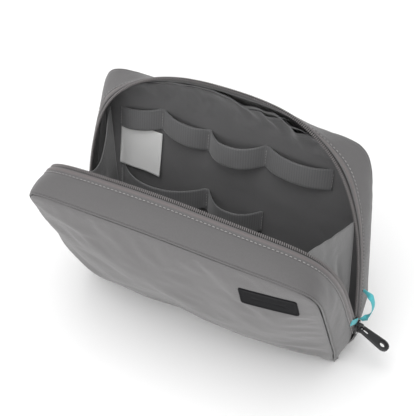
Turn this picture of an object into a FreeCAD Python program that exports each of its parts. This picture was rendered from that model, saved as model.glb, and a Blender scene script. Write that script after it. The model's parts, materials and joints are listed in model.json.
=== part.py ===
"""Cable organizer pouch, standing open: two soft trays joined by a fold at the base, with a zip round
the rim, an organizer wall with elastic bands inside the rear tray, a slider with a puller, and a
ribbon loop. Millimetres. +X runs to the pouch's right, +Y to its back, +Z up; the origin is on the
floor, under the fold line between the two trays."""

import FreeCAD, Part
import math
import os
from FreeCAD import Vector

# Fold line and lean of the trays
FOLD_HEIGHT = 42.0          # the line that both zip ends share, above the floor
FRONT_LEAN = 28.5           # degrees forward of upright, held there by the side wings
REAR_LEAN = 9.0             # degrees back from upright
FLOOR_GAP = 1.6             # tray walls end just above the base panel
REAR_FOLD_GAP = 0.5         # below the fold, the rear tray's walls keep this far behind its plane
FRONT_FOLD_GAP = 1.8        # and the front tray's walls this far in front, clear of the slider's neck

# Trays: a zip rim and an outer face, both superellipses above the fold line
# (shift slides the top sideways; tilt lowers the right end and raises the left by that share)
HALF_LENGTH = 117.5
TRAY_DEPTH = 31.0
FRONT_RIM = {"half": HALF_LENGTH, "rise": 135.4, "power": 5.5, "shift": 5.8, "tilt": 0.045}
FRONT_FACE = {"half": 113.0, "rise": 140.3, "power": 13.5, "shift": 11.4, "tilt": 0.031}
REAR_RIM = {"half": HALF_LENGTH, "rise": 155.2, "power": 2.7, "shift": -9.7, "tilt": -0.038}
REAR_FACE = {"half": 114.0, "rise": 127.5, "power": 12.0, "shift": -12.3, "tilt": 0.0}
FRONT_TAPER = 2.0           # the faces narrow by this much at each foot corner
REAR_TAPER = 9.0
FOOT_DROP = 56.0            # how far the walls run below the fold line before the floor trims them
FRONT_BELLY = 14.0          # the front face bulges outward, most at its middle
BELLY_GRID = 13             # points each way across the bulging face
RIM_STEPS = 40              # points along one rim

# Layers
FABRIC = 1.2
PIPING = 2.4
FOAM = 2.4
BOARD = 1.2
LINING = 0.5
LAYER_GAP = 0.3

# Zip
TAPE = 0.6
TAPE_WIDTH = 11.0
COIL_WIDTH = 2.6
COIL_THICK = 1.3
RIM_GAP = 0.6               # from the rim plane to the coil
FABRIC_START = 3.8          # the folded edge of the outer fabric, from the rim plane
COIL_FOOT = -1.5            # both coils start this far up from the fold line, above the slider
STOP_THICK = 2.4
STOP_HEIGHT = 4.0
STOP_FOOT = -6.5            # the stop sits just below the left end of the coils

# Base and stiff inserts
BASE_INSET = 4.0                # from the rims' ends to the base panel's ends
BASE_WIDTH = 42.0
BASE_MIDDLE = 10.5              # along Y
BASE_CORNER = 8.0
BOARD_INSET = 12.0
BOARD_EDGES = (1.5, 16.0)       # along Y, between the trays' feet
BACK_BOARD = (170.0, 100.0)     # width and height of the insert behind the rear lining
BACK_BOARD_CORNER = 14.0
BACK_BOARD_CENTRE = (-3.0, 52.0)
POCKET_PLAY = 0.5               # the pocket in the foam is this much larger all round
FOAM_INSET = 1.3                # from the piping's inner edge to the foam

# Organizer wall and elastic bands, in the rear tray
WALL_DEPTH = 25.0           # front surface of the wall, from the rim plane
WALL = 0.8
WALL_INSET = 7.4                # inside the rear face's outline
BAND = 0.9
HAIR = 0.1                      # hairline between the wall and what is sewn to it
BAND_HEIGHT = 18.0
STITCH = 3.0                # width of each sewn-down flat
UPPER_BAND_FOOT = 84.0
UPPER_STITCHES = [-103.0, -66.0, -26.0, 22.0, 76.0]
UPPER_BULGES = [10.0, 10.0, 15.0, 11.0]
LOWER_BAND_FOOT = 30.0
LOWER_STITCHES = [-101.0, -24.0, 24.0]
LOWER_BULGES = [17.0, 15.0]
LABEL_WIDTH = 31.0
LABEL_HEIGHT = 36.0
LABEL_THICK = 0.25
LABEL_TUCK = 4.0                # the label's top hides this far up behind the band

# Small parts
PATCH_WIDTH = 41.0
PATCH_HEIGHT = 19.0
PATCH_THICK = 0.9
PATCH_CORNER = 2.0
PATCH_CENTRE = (87.5, 111.0)    # along X and up the front face
TAB_LENGTH = 15.0
TAB_WIDTH = 8.0
TAB_CORNER = 1.5
TAB_TOP = 26.0

# Side wings: cloth wedges; each point is (distance from the middle, up from the fold)
WING_THICK = 0.5
WING_GAP = 1.0
LEFT_WING = {"foot": (108.5, 6.0), "front": (98.5, 117.0), "rear": (103.0, 97.0), "sag": 0.32}
RIGHT_WING = {"foot": (108.5, 6.0), "front": (99.5, 118.0), "rear": (100.0, 78.0), "sag": 0.04}

# Slider, bridge and puller
SLIDER_LENGTH = 9.5
SLIDER_WIDTH = 8.4
SLIDER_CORNER = 2.2
SLIDER_PLATE = 1.3
SLIDER_NECK = 0.7
NECK_LENGTH = 2.4
OUTER_PLATE = 0.9               # gap from the zip's end to the outer plate
INNER_PLATE = 5.6               # from the zip's end in to the far side of the inner plate
INNER_NARROWER = 1.6
SLIDER_REST = -8.0              # centre of the slider up from the fold line
BRIDGE_RISE = 4.2
BRIDGE_WIDTH = 1.8
BRIDGE_LENGTH = 8.0
BRIDGE_ROUND = 2.4
BRIDGE_LIFT = 0.02              # hairline between the bridge and the plate it is fixed to
WINDOW_RADIUS = 1.7
WINDOW_HEIGHT = 1.9             # centre of the bridge's window above its foot
PULLER_LENGTH = 26.5
PULLER_THICK = 1.9
PULLER_HEEL = 1.4               # how far the puller runs on behind its bar
PULLER_ROOT = 3.6               # round radius at the bar end
PULLER_TIP = 5.3                # round radius at the free end
PULLER_HOLE = 2.2               # radius, in the middle of the free end
PULLER_DISH = 3.7               # radius of the shallow dish round the hole
DISH_DEPTH = 0.5
SLOT_HALF = 1.7                 # half width of the slot that the bridge stands in
SLOT_START = -0.6               # the slot's ends, from the bar's middle
SLOT_END = 6.6
BAR_RADIUS = 0.8
BAR_SINK = 0.5                  # how far the bar runs into the slot's flanks
PULLER_REST = 23.5              # degrees below level

# Ribbon loop: a flat cord from the rear gusset round to the zip's end
RIBBON_TUBE = 1.6
BEND_SHARE = 0.45               # of the shorter run, used up by each bend
RIBBON_ROUTE = [(115.8, 13.0, 58.2), (119.8, 12.5, 57.0), (123.4, 11.5, 54.6), (125.7, 10.2, 50.8),
                (126.1, 8.9, 46.0), (124.6, 7.6, 41.2), (121.8, 6.4, 37.5), (118.7, 5.5, 35.3)]

X_AXIS = Vector(1, 0, 0)


def rim_outline(shape, taper):
    """Points of one outline, from the left foot over the top to the right foot, as (x, up) pairs."""
    points = []
    for drop in (FOOT_DROP, FOOT_DROP / 2):
        points.append((-shape["half"] + taper * drop / FOOT_DROP, -drop))
    for step in range(RIM_STEPS + 1):
        angle = math.pi * (1 - step / RIM_STEPS)
        across = abs(math.cos(angle)) / shape["half"]
        up = abs(math.sin(angle)) / shape["rise"]
        reach = (across ** shape["power"] + up ** shape["power"]) ** (-1 / shape["power"])
        points.append((reach * math.cos(angle), reach * math.sin(angle)))
    for drop in (FOOT_DROP / 2, FOOT_DROP):
        points.append((shape["half"] - taper * drop / FOOT_DROP, -drop))
    skewed = []
    for x, up in points:
        lift = min(1.0, max(0.0, up / shape["rise"]))
        skewed.append((x + shape["shift"] * lift, up * (1 - shape["tilt"] * x / shape["half"])))
    return skewed


def inset_outline(points, inset):
    """The same outline moved inward by a wall thickness."""
    moved = []
    last = len(points) - 1
    for index, (x, up) in enumerate(points):
        before = points[max(0, index - 1)]
        after = points[min(last, index + 1)]
        run = (after[0] - before[0], after[1] - before[1])
        length = math.hypot(*run)
        moved.append((x + run[1] / length * inset, up - run[0] / length * inset))
    return moved


def tray_points(tray, depth, inset):
    """Points round a tray at one depth behind its rim, moved inward by inset."""
    share = depth / TRAY_DEPTH
    rim = rim_outline(tray["rim"], 0.0)
    face = rim_outline(tray["face"], tray["taper"])
    mixed = [(r[0] + (f[0] - r[0]) * share, r[1] + (f[1] - r[1]) * share) for r, f in zip(rim, face)]
    return [Vector(x, depth, up) for x, up in inset_outline(mixed, inset)]


def smooth_edge(points):
    """One smooth edge through the points."""
    curve = Part.BSplineCurve()
    curve.interpolate(points)
    return curve.toShape()


def tray_wire(tray, depth, inset):
    """Closed wire of a tray's whole outline at one depth."""
    points = tray_points(tray, depth, inset)
    return Part.Wire([smooth_edge(points), Part.makeLine(points[-1], points[0])])


def wall_wire(tray, depth, outer, inner):
    """Closed wire of a tray's wall at one depth: out along one inset and back along the other."""
    outside = tray_points(tray, depth, outer)
    inside = tray_points(tray, depth, inner)[::-1]
    joins = [Part.makeLine(outside[-1], inside[0]), Part.makeLine(inside[-1], outside[0])]
    return Part.Wire([smooth_edge(outside), joins[0], smooth_edge(inside), joins[1]])


def tray_block(tray, start, end, inset):
    """Solid that fills a tray between two depths."""
    return Part.makeLoft([tray_wire(tray, start, inset), tray_wire(tray, end, inset)], True, True)


def tray_ring(tray, start, end, outer, inner):
    """Wall that follows a tray's outline, between two depths and two insets."""
    wires = [wall_wire(tray, start, outer, inner), wall_wire(tray, end, outer, inner)]
    return Part.makeLoft(wires, True, True)


def tray_plate(tray, start, end, inset):
    """Flat layer parallel to the face, with the face's outline."""
    wire = tray_wire(tray, TRAY_DEPTH, inset)
    wire.translate(Vector(0, start - TRAY_DEPTH, 0))
    return Part.Face(wire).extrude(Vector(0, end - start, 0))


def place_rear(shape):
    """From the tray's own frame (X, depth, up from the fold) to the pouch's frame."""
    placed = shape.copy()
    placed.rotate(Vector(), X_AXIS, -REAR_LEAN)
    placed.translate(Vector(0, 0, FOLD_HEIGHT))
    return placed


def place_front(shape):
    """The front tray's depth runs toward -Y."""
    placed = shape.mirror(Vector(), Vector(0, 1, 0))
    placed.rotate(Vector(), X_AXIS, FRONT_LEAN)
    placed.translate(Vector(0, 0, FOLD_HEIGHT))
    return placed


def trim(shape, side, gap):
    """Keep what is above the base panel and, below the fold, on the tray's own side of it."""
    size = 4 * HALF_LENGTH
    keep = Part.makeBox(size, size, size, Vector(-size / 2, -size / 2, FLOOR_GAP))
    below = Part.makeBox(size, size, FOLD_HEIGHT + REAR_FOLD_GAP, Vector(-size / 2, -size / 2, 0))
    below.translate(Vector(0, side * (gap - size / 2), 0))
    return shape.common(keep).cut(below)


def box(low, high):
    """Box between two corners."""
    return Part.makeBox(high[0] - low[0], high[1] - low[1], high[2] - low[2], Vector(*low))


def rounded_plate(width, height, thick, radius):
    """Plate centred on the origin in X and Z, from Y = 0 to Y = thick, with rounded corners."""
    plate = Part.makeBox(width, thick, height, Vector(-width / 2, 0, -height / 2))
    corners = [edge for edge in plate.Edges if abs(edge.tangentAt(edge.FirstParameter).y) > 0.9]
    return plate.makeFillet(radius, corners)


TRAYS = {
    "front": {"rim": FRONT_RIM, "face": FRONT_FACE, "taper": FRONT_TAPER, "place": place_front,
              "side": -1, "gap": FRONT_FOLD_GAP},
    "rear": {"rim": REAR_RIM, "face": REAR_FACE, "taper": REAR_TAPER, "place": place_rear,
             "side": 1, "gap": REAR_FOLD_GAP},
}


def placed(tray, shape):
    """Put a trimmed shape of one tray in the pouch's frame."""
    return trim(tray["place"](shape), tray["side"], tray["gap"])


def gusset(tray):
    """Soft side wall from the folded fabric edge to the piping."""
    end = TRAY_DEPTH - PIPING - LAYER_GAP
    return placed(tray, tray_ring(tray, FABRIC_START, end, 0.0, FABRIC))


def piping(tray):
    """Corded edge round the face."""
    return placed(tray, tray_ring(tray, TRAY_DEPTH - PIPING, TRAY_DEPTH, 0.0, PIPING))


def flat_panel(tray):
    """Outer fabric of the rear face."""
    return placed(tray, tray_plate(tray, TRAY_DEPTH - FABRIC, TRAY_DEPTH, PIPING + 2 * LAYER_GAP))


def front_foot():
    """Where the front face meets the floor, measured up from the fold line (so negative)."""
    lean = math.radians(FRONT_LEAN)
    return (TRAY_DEPTH * math.sin(lean) - FOLD_HEIGHT) / math.cos(lean)


def belly_bulge(x, up):
    """How far the front face stands out from its flat plane."""
    lift = min(1.0, max(0.0, up / FRONT_FACE["rise"]))
    share = (x - FRONT_FACE["shift"] * lift) / FRONT_FACE["half"]
    top = FRONT_FACE["rise"] * (1 - FRONT_FACE["tilt"] * share)
    middle = (top + front_foot()) / 2
    span = (top - front_foot()) / 2
    along = 1 - ((up - middle) / span) ** 2
    return FRONT_BELLY * (1 - abs(share) ** 4) * along


def belly_panel(tray):
    """Outer fabric of the front face: a bulging sheet trimmed to the face's outline."""
    margin = 4.0
    wide = FRONT_FACE["half"] + FRONT_FACE["shift"] + margin
    low = front_foot() - margin
    high = FRONT_FACE["rise"] * (1 + FRONT_FACE["tilt"]) + margin
    grid = []
    for row in range(BELLY_GRID):
        up = low + (high - low) * row / (BELLY_GRID - 1)
        xs = [-wide + 2 * wide * column / (BELLY_GRID - 1) for column in range(BELLY_GRID)]
        grid.append([Vector(x, TRAY_DEPTH + belly_bulge(x, up), up) for x in xs])
    surface = Part.BSplineSurface()
    surface.interpolate(grid)
    sheet = surface.toShape().extrude(Vector(0, -FABRIC, 0))
    column = tray_plate(tray, 0.0, TRAY_DEPTH + 2 * FRONT_BELLY, PIPING + 2 * LAYER_GAP)
    return placed(tray, sheet.common(column))


def foam(tray):
    """Padding behind the face."""
    end = TRAY_DEPTH - FABRIC - LAYER_GAP
    return placed(tray, tray_plate(tray, end - FOAM, end, PIPING + FOAM_INSET))


def lining(tray):
    """Inner tray of thin cloth: a wall inside the gusset and a sheet in front of the padding."""
    sheet_end = TRAY_DEPTH - FABRIC - FOAM - 2 * LAYER_GAP
    inset = FABRIC + TAPE + 3 * LAYER_GAP
    wall = tray_ring(tray, TAPE_WIDTH + 2.0, sheet_end - LINING, inset, inset + LINING)
    sheet = tray_block(tray, sheet_end - LINING, sheet_end, inset)
    return placed(tray, wall.fuse(sheet).removeSplitter())


def zip_tape(tray):
    """Woven tape sewn inside the gusset's edge."""
    inset = FABRIC + 2 * LAYER_GAP
    return placed(tray, tray_ring(tray, RIM_GAP, TAPE_WIDTH, inset, inset + TAPE))


def zip_coil(tray):
    """Coil along the tape's edge, outside it."""
    inset = FABRIC + 2 * LAYER_GAP
    ring = tray_ring(tray, RIM_GAP, RIM_GAP + COIL_WIDTH, inset - LAYER_GAP - COIL_THICK, inset - LAYER_GAP)
    size = 4 * HALF_LENGTH
    above = box((-size, -size, COIL_FOOT), (size, size, size))
    return placed(tray, ring.common(above))


def base_panel():
    """Outer base that the pouch stands on."""
    plate = rounded_plate(2 * (HALF_LENGTH - BASE_INSET), BASE_WIDTH, FABRIC, BASE_CORNER)
    plate.rotate(Vector(), X_AXIS, 90)
    plate.translate(Vector(0, BASE_MIDDLE, 0))
    return plate


def base_board():
    """Stiff insert that lies on the base between the trays' feet."""
    low = FABRIC + LAYER_GAP
    end = HALF_LENGTH - BOARD_INSET
    return box((-end, BOARD_EDGES[0], low), (end, BOARD_EDGES[1], low + BOARD))


def back_plate(play):
    """Rounded plate where the rear insert lies, larger than it by play on every side."""
    width, height = BACK_BOARD
    plate = rounded_plate(width + 2 * play, height + 2 * play, BOARD + 2 * play, BACK_BOARD_CORNER + play)
    middle = TRAY_DEPTH - FABRIC - FOAM / 2 - LAYER_GAP
    plate.translate(Vector(BACK_BOARD_CENTRE[0], middle - BOARD / 2 - play, BACK_BOARD_CENTRE[1]))
    return plate


def rear_foam(tray):
    """Padding behind the rear face, with a pocket for the insert."""
    end = TRAY_DEPTH - FABRIC - LAYER_GAP
    solid = tray_plate(tray, end - FOAM, end, PIPING + FOAM_INSET)
    return placed(tray, solid.cut(back_plate(POCKET_PLAY)))


def organizer_wall(tray):
    """Cloth wall in front of the rear lining that carries the bands."""
    wire = tray_wire(tray, TRAY_DEPTH, WALL_INSET)
    wire.translate(Vector(0, WALL_DEPTH - TRAY_DEPTH, 0))
    sheet = Part.Face(wire).extrude(Vector(0, WALL, 0))
    return placed(tray, sheet)


def band_bay(left, right, bulge):
    """One bay of a band, seen from above: a strip between two arcs."""
    middle = (left + right) / 2
    outer = Part.Arc(Vector(left, 0, 0), Vector(middle, -bulge, 0), Vector(right, 0, 0))
    inside = (Vector(right - BAND, 0, 0), Vector(middle, BAND - bulge, 0), Vector(left + BAND, 0, 0))
    inner = Part.Arc(*inside)
    ends = [Part.makeLine(Vector(right, 0, 0), inside[0]), Part.makeLine(inside[2], Vector(left, 0, 0))]
    edges = [outer.toShape(), ends[0], inner.toShape(), ends[1]]
    return Part.Face(Part.Wire(edges)).extrude(Vector(0, 0, BAND_HEIGHT))


def elastic_band(stitches, bulges, foot):
    """Band sewn down at each stitch, with a bulging bay between each two."""
    half = STITCH / 2
    pieces = [box((x - half, -BAND, 0), (x + half, 0, BAND_HEIGHT)) for x in stitches]
    for left, right, bulge in zip(stitches, stitches[1:], bulges):
        pieces.append(band_bay(left + half - BAND, right - half + BAND, bulge))
    band = pieces[0].multiFuse(pieces[1:]).removeSplitter()
    band.translate(Vector(0, WALL_DEPTH - HAIR, foot))
    return place_rear(band)


def care_label():
    """Blank cloth label that hangs under the upper band."""
    left = UPPER_STITCHES[0] + STITCH / 2 + BAND + LAYER_GAP
    top = UPPER_BAND_FOOT + LABEL_TUCK
    back = WALL_DEPTH - HAIR
    return place_rear(box((left, back - LABEL_THICK, top - LABEL_HEIGHT), (left + LABEL_WIDTH, back, top)))


def side_wing(wing, side):
    """Cloth wedge that joins the two trays at one end and stops them opening further."""
    corners = []
    rims = (("foot", 0.0, 0.0), ("front", -FRONT_LEAN, WING_GAP), ("rear", REAR_LEAN, -WING_GAP))
    for key, lean, gap in rims:
        reach, up = wing[key]
        angle = math.radians(lean)
        corners.append(Vector(side * reach, up * math.sin(angle) + gap, FOLD_HEIGHT + up * math.cos(angle)))
    foot, front_top, rear_top = corners
    middle = (front_top + rear_top) / 2
    middle += (foot - middle) * wing["sag"]
    edges = [Part.makeLine(foot, front_top), smooth_edge([front_top, middle, rear_top]),
             Part.makeLine(rear_top, foot)]
    return Part.Face(Part.Wire(edges)).extrude(Vector(-side * WING_THICK, 0, 0))


def end_tab(side):
    """Folded tab sewn over the zip's end."""
    tab = rounded_plate(TAB_WIDTH, TAB_LENGTH, FABRIC, TAB_CORNER)
    tab.rotate(Vector(), Vector(0, 0, 1), 90)
    start = HALF_LENGTH + LAYER_GAP + FABRIC
    tab.translate(Vector(start if side > 0 else -start + FABRIC, 0, TAB_TOP - TAB_LENGTH / 2))
    return tab


def zip_stop(tray):
    """Moulded stop at the zip's left end."""
    middle = -HALF_LENGTH - LAYER_GAP
    low = (middle - STOP_THICK / 2, RIM_GAP, STOP_FOOT)
    high = (middle + STOP_THICK / 2, RIM_GAP + COIL_WIDTH, STOP_FOOT + STOP_HEIGHT)
    return placed(tray, box(low, high))


def patch(tray):
    """Blank rubber patch on the front face, turned to lie on the belly."""
    x, up = PATCH_CENTRE
    step = PATCH_HEIGHT / 2
    slope_up = (belly_bulge(x, up + step) - belly_bulge(x, up - step)) / PATCH_HEIGHT
    reach = PATCH_WIDTH / 2
    slope_across = (belly_bulge(x + reach, up) - belly_bulge(x - reach, up)) / PATCH_WIDTH
    plate = rounded_plate(PATCH_WIDTH, PATCH_HEIGHT, PATCH_THICK, PATCH_CORNER)
    plate.rotate(Vector(), X_AXIS, -math.degrees(math.atan(slope_up)))
    plate.rotate(Vector(), Vector(0, 0, 1), math.degrees(math.atan(slope_across)))
    plate.translate(Vector(x, TRAY_DEPTH + belly_bulge(x, up) + LAYER_GAP, up))
    return tray["place"](plate)


def slider_body():
    """Two plates either side of the coils, joined by a thin neck between them."""
    outer = rounded_plate(SLIDER_WIDTH, SLIDER_LENGTH, SLIDER_PLATE, SLIDER_CORNER)
    inner = rounded_plate(SLIDER_WIDTH - INNER_NARROWER, SLIDER_LENGTH, SLIDER_PLATE, SLIDER_CORNER)
    for plate in (outer, inner):
        plate.rotate(Vector(), Vector(0, 0, 1), -90)
    outer_start = HALF_LENGTH + OUTER_PLATE
    inner_start = HALF_LENGTH - INNER_PLATE
    outer.translate(Vector(outer_start, 0, 0))
    inner.translate(Vector(inner_start, 0, 0))
    sink = SLIDER_PLATE / 2
    neck = box((inner_start + sink, -SLIDER_NECK / 2, -NECK_LENGTH / 2),
               (outer_start + sink, SLIDER_NECK / 2, NECK_LENGTH / 2))
    return outer.fuse(neck).fuse(inner).removeSplitter()


def bridge_foot():
    """Where the bridge stands on the outer plate, along X."""
    return HALF_LENGTH + OUTER_PLATE + SLIDER_PLATE + BRIDGE_LIFT


def slider_bridge():
    """Arched lug on the outer plate; the puller's bar runs through its window, along Y."""
    foot = bridge_foot()
    low = (foot, -BRIDGE_WIDTH / 2, -BRIDGE_LENGTH / 2)
    arch = box(low, (foot + BRIDGE_RISE, BRIDGE_WIDTH / 2, BRIDGE_LENGTH / 2))
    window_start = pull_pivot() - Vector(0, BRIDGE_WIDTH, 0)
    window = Part.makeCylinder(WINDOW_RADIUS, 2 * BRIDGE_WIDTH, window_start, Vector(0, 1, 0))
    outer = [edge for edge in arch.Edges if edge.BoundBox.XMin > foot + BRIDGE_RISE / 2]
    crosswise = [edge for edge in outer if abs(edge.tangentAt(0).y) > 0.9]
    return arch.makeFillet(BRIDGE_ROUND, crosswise).cut(window)


def pull_pivot():
    """Centre of the bridge's window."""
    return Vector(bridge_foot() + WINDOW_HEIGHT, 0, 0)


def puller_plate():
    """Flat plate between two round ends, the free one larger, centred on Z = 0."""
    root_x = PULLER_ROOT - PULLER_HEEL
    tip_x = PULLER_LENGTH - PULLER_HEEL - PULLER_TIP
    slope = math.asin((PULLER_TIP - PULLER_ROOT) / (tip_x - root_x))
    flank = (-math.sin(slope), math.cos(slope))
    rounds = ((root_x, PULLER_ROOT), (tip_x, PULLER_TIP))
    upper = [Vector(x + flank[0] * radius, flank[1] * radius, 0) for x, radius in rounds]
    lower = [Vector(point.x, -point.y, 0) for point in upper]
    tip_arc = Part.Arc(upper[1], Vector(tip_x + PULLER_TIP, 0, 0), lower[1])
    root_arc = Part.Arc(lower[0], Vector(root_x - PULLER_ROOT, 0, 0), upper[0])
    edges = [Part.makeLine(*upper), tip_arc.toShape(), Part.makeLine(lower[1], lower[0]), root_arc.toShape()]
    plate = Part.Face(Part.Wire(edges)).extrude(Vector(0, 0, PULLER_THICK))
    plate.translate(Vector(0, 0, -PULLER_THICK / 2))
    return plate


def puller():
    """Puller with a slot for the bridge, a bar across the slot, and a dished hole in its free end."""
    slot = box((SLOT_START, -SLOT_HALF, -PULLER_THICK), (SLOT_END, SLOT_HALF, PULLER_THICK))
    reach = SLOT_HALF + BAR_SINK
    bar = Part.makeCylinder(BAR_RADIUS, 2 * reach, Vector(0, -reach, 0), Vector(0, 1, 0))
    tip_x = PULLER_LENGTH - PULLER_HEEL - PULLER_TIP
    hole = Part.makeCylinder(PULLER_HOLE, 2 * PULLER_THICK, Vector(tip_x, 0, -PULLER_THICK))
    dish = Part.makeCylinder(PULLER_DISH, PULLER_THICK, Vector(tip_x, 0, PULLER_THICK / 2 - DISH_DEPTH))
    solid = puller_plate().cut(slot).fuse(bar).cut(hole).cut(dish).removeSplitter()
    solid.rotate(Vector(), Vector(0, 1, 0), PULLER_REST)
    solid.translate(pull_pivot())
    return solid


def ribbon_loop():
    """Tube along straight runs joined by tangent arcs, as large as the runs allow."""
    points = [Vector(*point) for point in RIBBON_ROUTE]
    edges = []
    start = points[0]
    for before, corner, after in zip(points, points[1:], points[2:]):
        inward = (corner - before).normalize()
        outward = (after - corner).normalize()
        turn = inward.getAngle(outward)
        cut = BEND_SHARE * min((corner - before).Length, (after - corner).Length)
        radius = cut / math.tan(turn / 2)
        first = corner - inward * cut
        second = corner + outward * cut
        bisector = (outward - inward).normalize()
        middle = corner + bisector * (radius / math.cos(turn / 2) - radius)
        edges.append(Part.LineSegment(start, first).toShape())
        edges.append(Part.Arc(first, middle, second).toShape())
        start = second
        print("ribbon radius", round(radius, 2))
    edges.append(Part.LineSegment(start, points[-1]).toShape())
    path = Part.Wire(edges)
    ring = Part.Wire(Part.makeCircle(RIBBON_TUBE / 2, points[0], points[1] - points[0]))
    tube = path.makePipeShell([ring], True, False)
    section = math.pi * (RIBBON_TUBE / 2) ** 2
    share = round(tube.Volume / path.Length / section, 3)
    print("ribbon length", round(path.Length, 1), "volume share", share)
    return tube


def on_slider(shape):
    """Slider parts sit at the zip's right end, just below the fold line, on the rear rim's line."""
    moved = shape.copy()
    moved.translate(Vector(0, 0, SLIDER_REST))
    return place_rear(moved)


def build():
    """All nodes by name."""
    front = TRAYS["front"]
    rear = TRAYS["rear"]
    nodes = {
        "base_panel": base_panel(),
        "base_board": base_board(),
        "rear_panel": flat_panel(rear),
        "rear_board": place_rear(back_plate(0.0)),
        "rear_foam": rear_foam(rear),
        "front_panel": belly_panel(front),
        "front_foam": foam(front),
        "organizer_wall": organizer_wall(rear),
        "upper_elastic_band": elastic_band(UPPER_STITCHES, UPPER_BULGES, UPPER_BAND_FOOT),
        "lower_elastic_band": elastic_band(LOWER_STITCHES, LOWER_BULGES, LOWER_BAND_FOOT),
        "care_label": care_label(),
        "left_side_wing": side_wing(LEFT_WING, -1),
        "right_side_wing": side_wing(RIGHT_WING, 1),
        "left_end_tab": end_tab(-1),
        "right_end_tab": end_tab(1),
        "zip_stop": zip_stop(rear),
        "front_patch": patch(front),
        "slider_body": on_slider(slider_body()),
        "slider_bridge": on_slider(slider_bridge()),
        "puller_tab": on_slider(puller()),
        "ribbon_loop": ribbon_loop(),
    }
    for name, tray in TRAYS.items():
        nodes[name + "_gusset"] = gusset(tray)
        nodes[name + "_piping"] = piping(tray)
        nodes[name + "_lining"] = lining(tray)
        nodes[name + "_zip_tape"] = zip_tape(tray)
        nodes[name + "_zip_coil"] = zip_coil(tray)
    return nodes


os.makedirs("parts", exist_ok=True)
for node, shape in build().items():
    print(node, "solids", len(shape.Solids), "valid", shape.isValid(), "volume", round(shape.Volume))
    shape.exportStep("parts/" + node + ".step")
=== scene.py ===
"""Looks of the cable organizer pouch: soft trays, zip, bands and small parts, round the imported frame.
Lengths in this script are millimetres, and make_mesh turns them into metres."""
import json
import math

import bpy
import numpy as np
from mathutils import Matrix, Vector
from mathutils.bvhtree import BVHTree


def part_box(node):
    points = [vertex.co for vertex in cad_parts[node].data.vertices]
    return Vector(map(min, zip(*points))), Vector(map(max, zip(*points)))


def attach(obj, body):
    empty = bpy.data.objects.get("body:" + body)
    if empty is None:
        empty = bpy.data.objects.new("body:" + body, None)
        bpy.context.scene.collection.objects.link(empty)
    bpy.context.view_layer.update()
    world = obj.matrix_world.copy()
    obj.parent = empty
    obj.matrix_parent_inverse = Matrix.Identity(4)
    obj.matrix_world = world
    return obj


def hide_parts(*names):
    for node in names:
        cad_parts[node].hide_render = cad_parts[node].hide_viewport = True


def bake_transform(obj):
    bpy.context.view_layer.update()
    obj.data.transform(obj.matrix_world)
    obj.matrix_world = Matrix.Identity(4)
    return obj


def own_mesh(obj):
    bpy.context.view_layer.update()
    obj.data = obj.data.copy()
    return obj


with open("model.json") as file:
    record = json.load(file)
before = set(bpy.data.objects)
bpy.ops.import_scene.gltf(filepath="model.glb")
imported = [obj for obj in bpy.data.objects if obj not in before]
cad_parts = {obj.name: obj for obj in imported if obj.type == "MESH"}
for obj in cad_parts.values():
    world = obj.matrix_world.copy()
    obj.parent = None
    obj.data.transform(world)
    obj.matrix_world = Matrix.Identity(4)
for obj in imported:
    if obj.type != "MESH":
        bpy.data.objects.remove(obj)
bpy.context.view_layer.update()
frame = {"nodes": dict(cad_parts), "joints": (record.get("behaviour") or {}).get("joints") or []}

MM = 0.001
JOINTS = {joint["name"]: joint for joint in frame["joints"]}
FOLD = JOINTS["front_fold"]["pos_m"][2] / MM      # the fold line's height
HALF = 117.5                                      # half the length of the zip rims

# Trays: x across, depth behind the rim, up from the fold line
TRAY_DEPTH = 31.0
FOOT_DROP = 56.0
FLOOR_TOUCH = 0.5
FOLD_GAP = 0.4
ARC_STEPS = 260
LEG_STEPS = 16
FRONT = {"lean": 28.5, "toward": -1, "taper": 9.0,
         "rim": {"half": HALF, "rise": 135.4, "power": 5.5, "shift": 5.8, "tilt": 0.045},
         "face": {"half": 113.0, "rise": 140.3, "power": 13.5, "shift": 11.4, "tilt": 0.031}}
REAR = {"lean": 9.0, "toward": 1, "taper": 9.0,
        "rim": {"half": HALF, "rise": 155.2, "power": 2.7, "shift": -9.7, "tilt": -0.038},
        "face": {"half": 114.0, "rise": 127.5, "power": 12.0, "shift": -12.3, "tilt": 0.0}}
ROWS = 2 * LEG_STEPS + ARC_STEPS + 1

# Seams and layers
PIPING_RADIUS = 0.75
PIPING_DEPTH = 29.9
SEAM_INSET = 1.9
STITCH_DEPTH = 9.0
STITCH_PITCH = 3.1
TAPE_INSET = 1.8
TOOTH_PITCH = 1.5
TOOTH_DEPTH = 1.9
TOOTH_SIZE = (1.05, 0.5)    # half its height and half its width
TOOTH_RINGS = [(-1.45, 0.35), (-1.3, 0.8), (-0.7, 1.0), (0.8, 0.95), (1.6, 0.6)]      # (reach, share of size)
COIL_FOOT = -1.5            # the teeth start this far up from the fold line
TUCK = 12.0                 # how far the side walls fold in at the floor
TUCK_TOP = -14.5            # where that starts, just below the slider
TUCK_RUN = 26.0             # how much lower it is complete

# Faces: the front one is full in the middle, with a ridge and a hollow under it at its lower left
BELLY = 16.0
FACE_FOOT = -31.0
RIDGE_UP = 47.0
RIDGE_SLOPE = 0.3
RIDGE_HEIGHT = 3.4
HOLLOW_DEPTH = 5.5
LOW_ROLL = 1.4
REAR_SWELL = 3.0

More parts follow.
